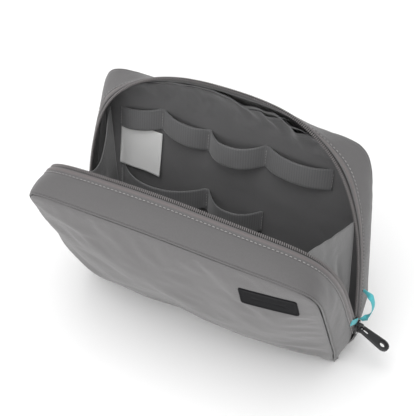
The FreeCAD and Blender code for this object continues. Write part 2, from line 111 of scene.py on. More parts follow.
# Creases as (start, end, width, height), across and up; a furrow's height is negative
FRONT_CREASES = [
    ((-96, 128), (-40, 112), 5, 1.0), ((-100, 120), (-70, 90), 6, -1.0), ((60, 30), (104, 18), 6, 0.9),
    ((50, 14), (98, 4), 5, -0.7), ((-20, 8), (40, 2), 6, 0.8), ((98, 122), (80, 60), 7, 0.7)]
REAR_CREASES = [((-80, 10), (-20, 2), 6, 0.8), ((40, 110), (90, 96), 6, -0.8)]
WALL_CREASES = [
    ((18, 146), (34, 122), 3.2, -3.0), ((0, 144), (14, 118), 3.5, 2.0), ((52, 140), (44, 118), 3.5, -2.4),
    ((-40, 140), (-52, 116), 5, -1.6), ((70, 132), (58, 112), 3.5, 2.0), ((84, 120), (60, 108), 4, -2.0),
    ((-80, 128), (-84, 108), 5, 1.2), ((-15, 150), (40, 140), 3, 1.6)]
INNER_CREASES = [((-70, 100), (-20, 70), 5, -1.2), ((30, 60), (80, 40), 5, 1.2)]
WING_CREASES = [((30, 20), (22, 78), 4, 1.6), ((44, 30), (36, 70), 4, -1.6)]

# Patch on the front face: its middle across and up, and its size
PATCH_AT = (86.0, 111.0)
PATCH_SIZE = (41.0, 18.5)

# Organizer
WALL_DEPTH = 25.0
BAND_HEIGHT = 18.0
UPPER_STITCHES = [-103.0, -66.0, -26.0, 22.0, 76.0]
UPPER_HEIGHTS = [89.5, 98.0, 92.0, 94.5, 92.0]
UPPER_BULGES = [4.5, 6.0, 12.5, 7.0]
LOWER_STITCHES = [-101.0, -24.0, 24.0]
LOWER_HEIGHTS = [37.5, 40.5, 37.0]
LOWER_BULGES = [15.5, 13.5]


def dome(t, power):
    """1 in the middle, falling to 0 where t is -1 or 1."""
    return np.clip(1 - np.abs(t) ** power, 0, 1)


def smooth(t):
    """0 to 1 with level ends."""
    t = np.clip(t, 0.0, 1.0)
    return t * t * (3 - 2 * t)


def fillet(t):
    """1 at t = 0, falling to 0 with a level end at t = 1."""
    return np.clip(1 - t, 0.0, 1.0) ** 2


def uneven(points, size, seed, octaves=3):
    """Repeatable smooth unevenness, about -1 to 1, that changes over roughly size millimetres."""
    draw = np.random.default_rng(seed)
    total = np.zeros(points.shape[:-1])
    for octave in range(octaves):
        for _ in range(5):
            heading = draw.normal(size=points.shape[-1])
            heading *= 2 * math.pi / size * 2 ** octave * draw.uniform(0.7, 1.3) / np.linalg.norm(heading)
            total += np.sin(points @ heading + draw.uniform(0, 2 * math.pi)) * 0.5 ** octave
    return total / 4


def shares(columns, rows):
    """Two grids: 0 to 1 across the columns, and 0 to 1 up the rows."""
    return np.meshgrid(np.linspace(0, 1, columns + 1), np.linspace(0, 1, rows + 1))


def lengths_along(path):
    """How far along a path each of its points lies."""
    return np.concatenate([[0], np.cumsum(np.linalg.norm(np.diff(path, axis=0), axis=1))])


def read_at(places, gone, path):
    """A path's values at the given lengths along it."""
    return np.stack([np.interp(places, gone, column) for column in path.T], -1)


def between(low, high, share):
    """From low where share is 0 to high where it is 1."""
    return low * (1 - share) + high * share


def unit(vectors):
    """The same directions with length 1."""
    return vectors / np.linalg.norm(vectors, axis=-1, keepdims=True)


def crease(x, up, start, end, width, height):
    """A soft ridge, or a furrow where height is negative, along a straight line."""
    run = np.array(end) - np.array(start)
    t = np.clip(((x - start[0]) * run[0] + (up - start[1]) * run[1]) / (run @ run), 0, 1)
    away = np.hypot(x - start[0] - t * run[0], up - start[1] - t * run[1])
    return height * np.exp(-(away / width) ** 2) * np.sin(math.pi * np.clip(t, 0.08, 0.92)) ** 0.5


def creases(x, up, lines):
    """Several creases together."""
    return sum(crease(x, up, *line) for line in lines)


def foot(tray, depth):
    """How far below the fold line a tray's wall ends, at the floor or at the fold's plane."""
    lean = math.radians(tray["lean"])
    floor = (FLOOR_TOUCH - FOLD + depth * math.sin(lean)) / math.cos(lean)
    fold = (FOLD_GAP - depth * math.cos(lean)) / math.sin(lean)
    return np.minimum(np.maximum(floor, fold), -1.0)


def tucked(up, share):
    """How far the side walls fold inward below the zip's ends."""
    return TUCK * (1 - share) * smooth((TUCK_TOP - up) / TUCK_RUN)


def ring(tray, depth, inset=0.0):
    """Points round a tray from its left foot over the top to its right foot, moved inward by inset."""
    depth = np.broadcast_to(np.asarray(depth, float), (ROWS,))
    turn = np.linspace(math.pi, 0, ARC_STEPS + 1)
    curves = []
    for shape in (tray["rim"], tray["face"]):
        across = np.abs(np.cos(turn)) / shape["half"]
        rise = np.abs(np.sin(turn)) / shape["rise"]
        reach = (across ** shape["power"] + rise ** shape["power"]) ** (-1 / shape["power"])
        x, up = reach * np.cos(turn), reach * np.sin(turn)
        lift = np.clip(up / shape["rise"], 0, 1)
        curves.append(np.array([x + shape["shift"] * lift, up * (1 - shape["tilt"] * x / shape["half"])]))
    share = depth / TRAY_DEPTH
    arc = slice(LEG_STEPS, LEG_STEPS + ARC_STEPS + 1)
    x, up = np.zeros((2, ROWS))
    x[arc], up[arc] = between(*curves, share[arc])
    half = between(tray["rim"]["half"], tray["face"]["half"], share)
    fall = np.linspace(1, 0, LEG_STEPS, endpoint=False)
    legs = ((slice(0, LEG_STEPS), -1, fall), (slice(ROWS - LEG_STEPS, ROWS), 1, fall[::-1]))
    for part, side, share_down in legs:
        up[part] = foot(tray, depth[part]) * share_down
        taper = tray["taper"] * share[part] * up[part] / FOOT_DROP
        x[part] = side * (half[part] + taper - tucked(up[part], share[part]))
    run_x, run_up = np.gradient(x), np.gradient(up)
    length = np.hypot(run_x, run_up)
    return np.stack([x + run_up / length * inset, depth, up - run_x / length * inset], -1)


def sway(tray, local):
    """Cloth is never true: the whole tray wanders a little, more toward its rim and away from the fold."""
    seed = 3 if tray is FRONT else 4
    away = smooth((local[..., 2] - 12) / 60)
    rim = 1 - 0.6 * np.clip(local[..., 1] / TRAY_DEPTH, 0, 1)
    flat = local[..., [0, 2]]
    moved = local.copy()
    moved[..., 1] += 1.1 * away * rim * uneven(flat, 150, seed, 2)
    moved[..., 2] += 0.7 * away * uneven(flat, 120, seed + 10, 2)
    return moved


def place(tray, local):
    """From a tray's own frame to the pouch's frame."""
    lean = math.radians(tray["lean"])
    local = sway(tray, local)
    depth, up = local[..., 1], local[..., 2]
    y = tray["toward"] * (depth * math.cos(lean) + up * math.sin(lean))
    z = FOLD + up * math.cos(lean) - depth * math.sin(lean)
    return np.stack([local[..., 0], y, np.maximum(z, 0.3)], -1)


def sweep(tray, section, relief=None):
    """Grid with a row for each place round the tray and a column for each (depth, inset) of the section."""
    columns = []
    for depth, inset in section:
        if relief is not None:
            inset = inset - relief(ring(tray, depth))
        columns.append(ring(tray, depth, inset))
    return np.stack(columns, 1)


def across_tray(tray, depth_of, inset, columns, rows):
    """Grid that spans a tray from side to side (a) and from foot to top (b), edged by its ring."""
    guide = ring(tray, TRAY_DEPTH)
    corner = math.atan2(tray["face"]["rise"], tray["face"]["half"])
    first = LEG_STEPS + round(ARC_STEPS * corner / math.pi)
    last = ROWS - 1 - first
    gone = lengths_along(guide[:, [0, 2]])
    a = np.clip((gone - gone[first]) / (gone[last] - gone[first]), 0, 1)
    b = np.minimum(gone / gone[first], (gone[-1] - gone) / (gone[-1] - gone[last])).clip(0, 1)
    edge = ring(tray, depth_of(a, b), inset(guide[:, 0], b) if callable(inset) else inset)
    A, B = shares(columns, rows)

    def along(part, key, steps):
        return read_at(steps, key[part], edge[part])

    left = along(slice(0, first + 1), b, B[:, 0])
    top = along(slice(first, last + 1), a, A[0])
    right = along(slice(ROWS - 1, last - 1, -1), b, B[:, 0])
    bottom = between(left[0], right[0], A[0][:, None])
    wide = between(left[:, None], right[:, None], A[..., None])
    tall = between(bottom[None], top[None], B[..., None])
    corners = between(between(bottom[0], bottom[-1], A[..., None]), between(top[0], top[-1], A[..., None]),
                      B[..., None])
    grid = wide + tall - corners
    grid[..., 1] = depth_of(A, B)
    return grid


def quads(rows, columns, wrap):
    """Faces of a grid, closed across its columns where wrap is set."""
    index = np.arange(rows * columns).reshape(rows, columns)
    if wrap:
        index = np.concatenate([index, index[:, :1]], 1)
    return np.stack([index[:-1, :-1], index[1:, :-1], index[1:, 1:], index[:-1, 1:]], -1).reshape(-1, 4)


def add_tube(points, faces, loops):
    """Add a closed tube, given as its rings of points, to a mesh's points and faces."""
    base, around = len(points), len(loops[0])
    last = base + around * (len(loops) - 1)
    points.extend(point for loop in loops for point in loop)
    for low in range(base, last, around):
        high = low + around
        for k in range(around):
            beside = (k + 1) % around
            faces.append((low + k, low + beside, high + beside, high + k))
    faces.append(tuple(range(base + around - 1, base - 1, -1)))
    faces.append(tuple(range(last, last + around)))


def add_object(name, data):
    """New object in the scene."""
    piece = bpy.data.objects.new(name, data)
    bpy.context.scene.collection.objects.link(piece)
    return piece


def make_mesh(name, points, faces, materials, uv=None):
    """Smooth mesh object from points in millimetres."""
    mesh = bpy.data.meshes.new(name)
    mesh.from_pydata((np.asarray(points) * MM).tolist(), [], [list(map(int, f)) for f in faces])
    if uv is not None:
        layer = mesh.uv_layers.new(name="cloth")
        corner = np.zeros(len(mesh.loops), int)
        mesh.loops.foreach_get("vertex_index", corner)
        layer.data.foreach_set("uv", (np.asarray(uv)[corner] * MM).ravel())
    mesh.polygons.foreach_set("use_smooth", [True] * len(mesh.polygons))
    for material in materials:
        mesh.materials.append(material)
    mesh.validate()
    mesh.update()
    return add_object(name, mesh)


def cloth_uv(grid):
    """Lengths along and across a grid, so that weave keeps its size."""
    down = np.linalg.norm(np.diff(grid, axis=0), axis=-1).mean(1)
    across = np.linalg.norm(np.diff(grid, axis=1), axis=-1).mean(0)
    u = np.concatenate([[0], np.cumsum(down)])
    v = np.concatenate([[0], np.cumsum(across)])
    return np.stack(np.meshgrid(u, v, indexing="ij"), -1).reshape(-1, 2)


def make_cloth(name, grid, material, thick=0.0, wrap=False, away=None, offset=-1.0, fine=0):
    """Sheet from a grid of points, faced away from a point inside, with the cloth's thickness."""
    faces = quads(grid.shape[0], grid.shape[1], wrap)
    points = grid.reshape(-1, 3)
    if away is not None:
        a, b, c = (points[faces[:, i]] for i in (0, 1, 2))
        out = (np.cross(b - a, c - a) * (a - np.array(away))).sum()
        if out < 0:
            faces = faces[:, ::-1]
    piece = make_mesh(name, points, faces, [material], cloth_uv(grid))
    if thick:
        solid = piece.modifiers.new("thickness", "SOLIDIFY")
        solid.thickness = thick * MM
        solid.offset = offset
    if fine:
        piece.modifiers.new("fine", "SUBSURF").levels = fine
        piece.modifiers["fine"].render_levels = fine
    return piece


SETTLE_FRAMES = 20
SETTLE_CAP = 2.0            # the furthest any point moves
SPARE_CLOTH = 0.004
SETTLING = {"quality": 7, "mass": 0.2, "tension_stiffness": 25, "compression_stiffness": 25,
            "shear_stiffness": 10, "bending_stiffness": 3.0, "vertex_group_mass": "held",
            "use_pressure": True, "shrink_min": -SPARE_CLOTH}


def settle(grid, pressure, stiff):
    """Cloth simulation of a sheet held along its edges and where it is stiff: a little spare cloth, pushed
    out from behind."""
    rows, columns = grid.shape[:2]
    start = grid.reshape(-1, 3)
    piece = make_mesh("settling", start, quads(rows, columns, False), [])
    edge = stiff.copy()
    edge[[0, 1, -2, -1]] = True
    edge[:, [0, 1, -2, -1]] = True
    held = piece.vertex_groups.new(name="held")
    held.add(np.flatnonzero(edge).tolist(), 1.0, "REPLACE")
    cloth = piece.modifiers.new("cloth", "CLOTH")
    for setting, given in SETTLING.items():
        setattr(cloth.settings, setting, given)
    cloth.settings.uniform_pressure_force = pressure
    cloth.settings.effector_weights.gravity = 0
    cloth.point_cache.frame_start = 1
    cloth.point_cache.frame_end = SETTLE_FRAMES
    for step in range(1, SETTLE_FRAMES + 1):
        bpy.context.scene.frame_set(step)
    evaluated = piece.evaluated_get(bpy.context.evaluated_depsgraph_get())
    settled = np.zeros(len(start) * 3)
    evaluated.data.vertices.foreach_get("co", settled)
    moved = settled.reshape(-1, 3) / MM - start
    far = np.linalg.norm(moved, axis=1, keepdims=True)
    moved *= SETTLE_CAP * np.tanh(far / SETTLE_CAP) / np.maximum(far, 1e-6)
    bpy.data.objects.remove(piece)
    bpy.context.scene.frame_set(1)
    return (start + moved).reshape(grid.shape)


# ---------------- materials

def value(tree, operation, first, second=0.5):
    """A Math node's result; each input is a number or a socket."""
    node = tree.nodes.new("ShaderNodeMath")
    node.operation = operation
    for socket, given in zip(node.inputs, (first, second)):
        if isinstance(given, (int, float)):
            socket.default_value = given
        else:
            tree.links.new(given, socket)
    return node.outputs[0]


def mixed(tree, share, low, high):
    """Colour between two colours; share is a socket."""
    node = tree.nodes.new("ShaderNodeMix")
    node.data_type = "RGBA"
    tree.links.new(share, node.inputs["Factor"])
    for socket, given in ((node.inputs[6], low), (node.inputs[7], high)):
        if isinstance(given, tuple):
            socket.default_value = (*given, 1.0)
        else:
            tree.links.new(given, socket)
    return node.outputs[2]


def noise_at(tree, coordinates, size, detail=2.0):
    """Noise whose lumps are about size millimetres."""
    node = tree.nodes.new("ShaderNodeTexNoise")
    node.inputs["Scale"].default_value = 1 / (size * MM)
    node.inputs["Detail"].default_value = detail
    tree.links.new(coordinates, node.inputs["Vector"])
    return node.outputs["Fac"]


def bumped(tree, shader, heights):
    """Chain of Bump nodes: (height socket, distance in millimetres, strength)."""
    last = None
    for height, distance, strength in heights:
        node = tree.nodes.new("ShaderNodeBump")
        node.inputs["Distance"].default_value = distance * MM
        node.inputs["Strength"].default_value = strength
        tree.links.new(height, node.inputs["Height"])
        if last is not None:
            tree.links.new(last, node.inputs["Normal"])
        last = node.outputs["Normal"]
    tree.links.new(last, shader.inputs["Normal"])


def tone(colour, share):
    return tuple(min(1.0, c * share) for c in colour)


def new_material(name, rough, sheen=0.0, metal=0.0, coat=0.0, specular=0.5):
    material = bpy.data.materials.new(name)
    material.use_nodes = True
    tree = material.node_tree
    shader = tree.nodes["Principled BSDF"]
    settings = {"Roughness": rough, "Sheen Weight": sheen, "Sheen Roughness": 0.45, "Metallic": metal,
                "Coat Weight": coat, "Specular IOR Level": specular}
    for setting, given in settings.items():
        shader.inputs[setting].default_value = given
    return material, tree, shader


def cloth_material(name, colour, thread, ribs=False, contrast=0.16, mottle=0.1, sheen=0.25, rough=0.85,
                   rumple=0.5):
    """Woven cloth: threads of the given pitch along the piece's own lengths, darkened in their hollows as
    painted shade, mottled yarn and soft rumples.
    ribs gives a corded weave whose ribs run across the piece."""
    material, tree, shader = new_material(name, rough, sheen, specular=0.25)
    lengths = tree.nodes.new("ShaderNodeUVMap")
    lengths.uv_map = "cloth"
    parts = tree.nodes.new("ShaderNodeSeparateXYZ")
    tree.links.new(lengths.outputs["UV"], parts.inputs[0])
    place_at = tree.nodes.new("ShaderNodeTexCoord").outputs["Object"]
    turn = 2 * math.pi / (thread * MM)
    along = value(tree, "SINE", value(tree, "MULTIPLY", parts.outputs[0], turn / 2 if ribs else turn))
    across = value(tree, "SINE", value(tree, "MULTIPLY", parts.outputs[1], turn))
    if ribs:
        weave = value(tree, "ABSOLUTE", along)
    else:
        weave = value(tree, "ADD", value(tree, "MULTIPLY", value(tree, "MULTIPLY", along, across), 0.5), 0.5)
    yarn = noise_at(tree, place_at, 1.1)
    patches = noise_at(tree, place_at, 38.0, 3.0)
    # The weave's height darkens the colour in the hollows between threads and ribs: painted shade.
    hollow_shade, spun = value(tree, "MULTIPLY", weave, contrast), value(tree, "MULTIPLY", yarn, mottle * 2)
    shade = value(tree, "ADD", hollow_shade, spun)
    shade = value(tree, "ADD", shade, value(tree, "MULTIPLY", patches, mottle))
    colour_out = mixed(tree, shade, tone(colour, 0.82), tone(colour, 1.35))
    tree.links.new(colour_out, shader.inputs["Base Color"])
    rumples = noise_at(tree, place_at, 9.0, 3.0)
    bumped(tree, shader, [(weave, 0.12, 0.35), (yarn, 0.15, 0.3), (rumples, rumple, 0.35)])
    return material


def plain_material(name, colour, rough, grain, grain_size, metal=0.0, coat=0.0, wear=0.12,
                   specular=0.5):
    """Moulded or painted surface: fine grain, uneven gloss and rubbed edges."""
    material, tree, shader = new_material(name, rough, metal=metal, coat=coat, specular=specular)
    place_at = tree.nodes.new("ShaderNodeTexCoord").outputs["Object"]
    speckle = noise_at(tree, place_at, grain_size)
    edge = tree.nodes.new("ShaderNodeNewGeometry").outputs["Pointiness"]
    rubbed = value(tree, "MULTIPLY", value(tree, "SUBTRACT", edge, 0.53), 6.0)
    rubbed = value(tree, "MINIMUM", value(tree, "MAXIMUM", rubbed, 0.0), 1.0)
    rubbed = value(tree, "MULTIPLY", rubbed, wear * 4)
    base = mixed(tree, speckle, tone(colour, 0.85), tone(colour, 1.15))
    tree.links.new(mixed(tree, rubbed, base, tone(colour, 3.5)), shader.inputs["Base Color"])
    gloss = value(tree, "ADD", value(tree, "MULTIPLY", speckle, 0.16), rough - 0.08)
    tree.links.new(gloss, shader.inputs["Roughness"])
    bumped(tree, shader, [(speckle, grain, 0.4)])
    return material


OUTER = cloth_material("outer_fabric", (0.142, 0.138, 0.139), 0.55, contrast=0.2, mottle=0.14)
# The outer fabric, made darker for the side walls: painted shade where they face away from the light.
SHADED_GUSSET = cloth_material("gusset_fabric_painted_shade", (0.122, 0.1185, 0.1195), 0.55, contrast=0.2, mottle=0.14)
# The outer fabric's folded edge, tinted warm: painted warm light.
FACING = cloth_material("zip_facing", (0.145, 0.130, 0.130), 0.5, ribs=True, contrast=0.25)
# The outer fabric, a little darker for the piping: painted shade along the seam.
SHADED_CORD = cloth_material("piping", (0.13, 0.126, 0.127), 0.5)
FINE = {"contrast": 0.08, "sheen": 0.3, "rough": 0.7, "rumple": 0.9}
LINING = cloth_material("lining", (0.125, 0.124, 0.126), 0.35, **FINE)
WING = cloth_material("wing_cloth", (0.165, 0.164, 0.165), 0.35, **FINE)
TAPE = cloth_material("zip_tape", (0.032, 0.03, 0.03), 0.8, ribs=True, contrast=0.3)
ELASTIC = cloth_material("elastic", (0.125, 0.125, 0.127), 1.9, ribs=True, contrast=0.42, sheen=0.3)
RIBBON = cloth_material("ribbon", (0.09, 0.43, 0.47), 0.7, ribs=True, contrast=0.3, sheen=0.2)
THREAD = cloth_material("thread", (0.31, 0.3, 0.3), 0.3, mottle=0.05)
LABEL = cloth_material("label", (0.9, 0.9, 0.89), 0.3, contrast=0.05, mottle=0.03, sheen=0.2, rough=0.5,
                       rumple=0.2)
COIL = plain_material("zip_coil", (0.115, 0.107, 0.107), 0.42, 0.05, 0.4)
SLIDER = plain_material("slider", (0.012, 0.012, 0.013), 0.22, 0.02, 0.5, metal=0.3, coat=0.6)
PULLER = plain_material("puller", (0.024, 0.024, 0.025), 0.5, 0.04, 0.35, specular=0.35)
PATCH = plain_material("patch", (0.008, 0.008, 0.009), 0.75, 0.05, 0.5, wear=0.02, specular=0.12)
BOARD = plain_material("board", (0.5, 0.5, 0.48), 0.6, 0.05, 1.0)


def finish_piece(piece, tray, nodes=(), bends=True):
    """Parent a piece to its tray's body and hide the CAD nodes it replaces; the front tray's cloth, unless
    bends is off, is baked in place and not parented.
    """
    if tray is FRONT and bends:
        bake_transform(piece)
    else:
        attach(piece, "front_tray" if tray is FRONT else "rear_tray")
    if nodes:
        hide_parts(*nodes)


def centre_of(tray):
    """A point inside a tray."""
    return place(tray, np.array([0.0, TRAY_DEPTH / 2, 50.0]))


# ---------------- trays

def gusset_relief(tray):
    """Soft pillow, creases and slight puckers of the side wall."""
    seed = 21 if tray is FRONT else 22

    def relief(points):
        depth, up = points[:, 1], points[:, 2]
        middle = np.sin(math.pi * np.clip((depth - STITCH_DEPTH) / (29 - STITCH_DEPTH), 0, 1))
        rumple = 0.8 * uneven(points, 52, seed, 2) + 0.12 * uneven(points, 16, seed + 1, 2)
        low = smooth((up + 38) / 30)
        return middle * (1.0 + rumple) * low + 0.07 * uneven(points, 12, seed + 2)

    return relief


# Sections as (depth, inset): the gusset's hem at the rim, its turn into the seam, and the facing strip
HEM = [(9.0, 1.6), (6.5, 1.55), (4.7, 1.45), (4.1, 1.2), (3.8, 0.8), (3.9, 0.35), (4.4, 0.02), (5.2, -0.12),
       (6.2, -0.15), (7.2, -0.05), (8.1, 0.15), (8.8, 0.4), (9.3, 0.4), (10.1, 0.12)]
SEAM_TURN = [(28.4, 0.15), (29.0, 0.45), (29.4, 1.0), (29.5, 2.0)]
FACING_SECTION = [(4.6, 1.5), (4.4, 1.1), (4.4, 0.6), (4.5, 0.15), (4.9, -0.25), (5.6, -0.42), (6.3, -0.4),
                  (6.9, -0.2), (7.2, 0.1)]


def gusset(name, tray):
    section = [*HEM, *((depth, 0.0) for depth in np.arange(11.2, 27.9, 1.05)), *SEAM_TURN]
    grid = place(tray, sweep(tray, section, gusset_relief(tray)))
    # The side wall wears the darker copy of the outer fabric, which is painted shade.
    piece = make_cloth(name + "_gusset_cloth", grid, SHADED_GUSSET, 0.35, away=centre_of(tray))
    piece.data.materials.append(LINING)
    piece.modifiers["thickness"].material_offset = 1
    finish_piece(piece, tray, [name + "_gusset"])


def facing(name, tray):
    """Folded strip that shows beside the zip, under a row of stitches."""
    grid = place(tray, sweep(tray, FACING_SECTION, gusset_relief(tray)))
    # The strip's warm tint is painted warm light on the outer fabric.
    piece = make_cloth(name + "_zip_facing", grid, FACING, 0.3, away=centre_of(tray))
    finish_piece(piece, tray)


def piping(name, tray):
    """Cord covered with cloth along the seam."""
    section = []
    for turn in np.arange(10) * 2 * math.pi / 10:
        out, inset = PIPING_RADIUS * math.sin(turn), PIPING_RADIUS * (1 + math.cos(turn))
        section.append((PIPING_DEPTH + out, inset + 0.45))
    grid = place(tray, sweep(tray, section, lambda p: 0.15 * uneven(p, 9, 31)))
    # The piping wears the darker copy of the outer fabric, which is painted shade.
    piece = make_cloth(name + "_piping_cord", grid, SHADED_CORD, wrap=True)
    finish_piece(piece, tray, [name + "_piping"])


def belly(x, up):
    """How far the front face stands out: a full middle, and a fold over the lower left."""
    face = FRONT["face"]
    share = (x - face["shift"] * np.clip(up / face["rise"], 0, 1)) / face["half"]
    top = face["rise"] * (1 - face["tilt"] * share)
    middle, span = (top + FACE_FOOT) / 2, (top - FACE_FOOT) / 2
    swell = BELLY * dome(share, 4) * dome((up - middle) / span, 2)
    left = smooth((-30 - x) / 50) * dome(share, 10)
    above = up - RIDGE_UP + RIDGE_SLOPE * (x + 100)
    ridge = RIDGE_HEIGHT * np.exp(-(above / 8) ** 2) - HOLLOW_DEPTH * np.exp(-((above + 20) / 12) ** 2)
    low = np.exp(-((up + 14) / 13) ** 2) * dome(share, 6)
    return swell + left * ridge + LOW_ROLL * low


def under_patch(x, up, depth):
    """Depth of the front face once the stiff patch holds it nearly level."""
    across, high = (x - PATCH_AT[0]) / PATCH_SIZE[0], (up - PATCH_AT[1]) / PATCH_SIZE[1]
    held = 0.9 * np.exp(-(across / 0.68) ** 4 - (high / 0.8) ** 4)
    steps = np.array([(0.0, 0.0), (0.5, 0.0), (-0.5, 0.0), (0.0, 0.5), (0.0, -0.5)])
    spots = np.array(PATCH_AT) + steps * np.array(PATCH_SIZE)
    middle, right, left, above, below = belly(spots[:, 0], spots[:, 1])
    level = (middle + (right + left + above + below) / 4) / 2
    level = level + across * (right - left) + high * (above - below)
    return depth + held * (level - depth)


def front_face_depth(x, up):
    """Depth of the front face, with its small creases."""
    flat = np.stack([x, up], -1)
    inner = dome(x / 117, 8) * smooth((up + 34) / 14) * smooth((139 - up) / 16)
    rumple = 0.9 * uneven(flat, 95, 41, 2) + 0.3 * uneven(flat, 30, 42, 2)
    return under_patch(x, up, belly(x, up) + inner * (rumple + creases(x, up, FRONT_CREASES)))


def face_sheet(name, tray, swell, columns, rows, pressure):
    """Padded face inside its piping, settled as cloth."""
    grid = across_tray(tray, lambda a, b: TRAY_DEPTH - 1.0 + 0 * a, SEAM_INSET, columns, rows)
    a, b = shares(columns, rows)
    edge = np.minimum(np.minimum(a, 1 - a) * 2 * HALF, np.minimum(b * 170, (1 - b) * 150))
    grid[..., 1] += 1.3 * (1 - np.exp(-edge / 1.8)) + swell(grid[..., 0], grid[..., 2])
    from_patch = np.abs(grid[..., [0, 2]] - np.array(PATCH_AT)) / np.array(PATCH_SIZE)
    stiff = (from_patch < 0.62).all(-1) & (tray is FRONT)
    grid = settle(place(tray, grid), pressure, stiff)
    grid[..., 2] = np.maximum(grid[..., 2], 0.3)
    piece = make_cloth(name, grid, OUTER, 0.6, away=centre_of(tray), fine=1)
    return piece


def rear_swell(x, up):
    """The rear face is nearly flat, with a board behind it."""
    flat = np.stack([x, up], -1)
    soft = dome(x / 112, 6) * smooth((up + 36) / 20) * smooth((124 - up) / 20)
    return soft * (REAR_SWELL + 0.8 * uneven(flat, 80, 51, 2) + creases(x, up, REAR_CREASES))


def stitches(name, tray):
    """Row of thread stitches along the rim."""
    path = place(tray, ring(tray, STITCH_DEPTH, -gusset_relief(tray)(ring(tray, STITCH_DEPTH))))
    out = place(tray, ring(tray, STITCH_DEPTH, -2.0)) - place(tray, ring(tray, STITCH_DEPTH, 0.0))
    finish_piece(thread_row(name + "_topstitch", path, unit(out)), tray)


def thread_row(name, path, out, pitch=STITCH_PITCH, long=2.0, wide=0.85):
    """Stitches along a path: short rounded threads, each pulled in at both ends."""
    gone = lengths_along(path)
    turns = np.arange(6) * math.pi / 3
    lift = 0.5 * np.sin(math.pi * np.linspace(0, 1, 5)) - 0.1
    width = wide / 2 * (0.45 + 0.55 * np.sin(math.pi * np.linspace(0.06, 0.94, 5)))
    points, faces = [], []
    for start in np.arange(pitch / 2, gone[-1] - pitch, pitch):
        line = read_at(start + np.linspace(0, long, 5), gone, path)
        normal = read_at(start, gone, out)
        side = np.cross(unit(line[-1] - line[0]), normal)
        loops = []
        for centre, high, half in zip(line, lift, width):
            loops.append([centre + normal * (high + half * math.sin(turn)) + side * half * math.cos(turn)
                          for turn in turns])
        add_tube(points, faces, loops)
    uv = [(turn, 0.0) for turn in np.resize(turns, len(points))]
    return make_mesh(name, points, faces, [THREAD], uv)


def zip_tape(name, tray):
    section = [(depth, TAPE_INSET - 0.3) for depth in (1.0, 2.0, 3.2, 4.5, 6.5, 9.0, 11.0)]
    grid = place(tray, sweep(tray, section, lambda p: 0.12 * uneven(p, 20, 61)))
    piece = make_cloth(name + "_tape_cloth", grid, TAPE, 0.6, away=centre_of(tray))
    finish_piece(piece, tray, [name + "_zip_tape"])


def zip_teeth(name, tray):
    """Coil turns along the tape's edge: rounded ribs, one beside the next."""
    path = ring(tray, TOOTH_DEPTH, TAPE_INSET)
    side_on = ring(tray, TOOTH_DEPTH, TAPE_INSET - 2.0)
    deeper = ring(tray, TOOTH_DEPTH + 2.0, TAPE_INSET)
    run = path[:, 2] > COIL_FOOT
    world, out, back = (place(tray, points[run]) for points in (path, side_on, deeper))
    out = unit(out - world)
    back = back - world
    back = unit(back - out * (back * out).sum(1, keepdims=True))
    gone = lengths_along(world)
    places = np.arange(TOOTH_PITCH, gone[-1] - TOOTH_PITCH / 2, TOOTH_PITCH)
    turns = np.arange(8) * math.pi / 4
    points, faces = [], []
    for centre, normal, deep in zip(*(read_at(places, gone, path) for path in (world, out, back))):
        high, wide = TOOTH_SIZE[0] * normal, TOOTH_SIZE[1] * np.cross(normal, deep)
        loops = []
        for reach, full in TOOTH_RINGS:
            loops.append([centre + deep * reach + (high * math.sin(turn) + wide * math.cos(turn)) * full
                          for turn in turns])
        add_tube(points, faces, loops)
    piece = make_mesh(name + "_zip_teeth", points, faces, [COIL])
    finish_piece(piece, tray, [name + "_zip_coil"], bends=False)


# ---------------- inside

def slack(x, b):
    """How far the rear lining hangs below the tape, at the top right of the middle."""
    hang = np.exp(-((x - 32) / 44) ** 4) * smooth((b - 0.9) / 0.1)
    return hang * (4.2 + 1.1 * np.sin(x / 7.0 + 1.0) + 0.8 * np.sin(x / 3.1))


def wall_depth(a, b):
    """Depth of the rear back sheet, which rounds forward to the rim at the top."""
    top = 12.5 * fillet((1 - b) / 0.3)
    sides = 1.5 * (fillet(a / 0.04) + fillet((1 - a) / 0.04))
    return WALL_DEPTH + 0.4 - top - sides


def organizer_wall():
    """Back sheet of the rear tray, which carries the bands."""
    columns, rows = 120, 96
    grid = across_tray(REAR, wall_depth, lambda x, b: 3.6 + slack(x, b), columns, rows)
    x, up = grid[..., 0], grid[..., 2]
    flat = grid[..., [0, 2]]
    a, b = shares(columns, rows)
    inner = smooth(a / 0.08) * smooth((1 - a) / 0.08) * smooth(b / 0.05)
    loose = inner * smooth((up - 104) / 14)
    grid[..., 1] += loose * (creases(x, up, WALL_CREASES) + 0.9 * uneven(flat, 26, 71))
    grid[..., 1] += 0.35 * inner * uneven(flat, 34, 72)
    piece = make_cloth("organizer_wall_cloth", place(REAR, grid), LINING, 0.5, offset=0.0)
    finish_piece(piece, REAR, ["organizer_wall"])


def lining_wall(name, tray, end):
    """Thin cloth inside the gusset, from the tape to the back sheet."""
    rows_b = np.minimum(np.arange(ROWS), np.arange(ROWS)[::-1]) / (LEG_STEPS + ARC_STEPS * 0.27)

    def relief(points):
        hang = slack(points[:, 0], np.clip(rows_b, 0, 1)) if tray is REAR else 0.0
        return -hang + 0.45 * uneven(points, 22, 81) + 0.2 * uneven(points, 9, 82)

    section = [(10.2, 2.75), (11.0, 2.85), *((depth, 3.0) for depth in np.arange(12.0, end, 1.6)), (end, 3.3)]
    grid = place(tray, sweep(tray, section, relief))
    piece = make_cloth(name + "_lining_cloth", grid, LINING, 0.4, offset=0.0)
    finish_piece(piece, tray, [name + "_lining"])


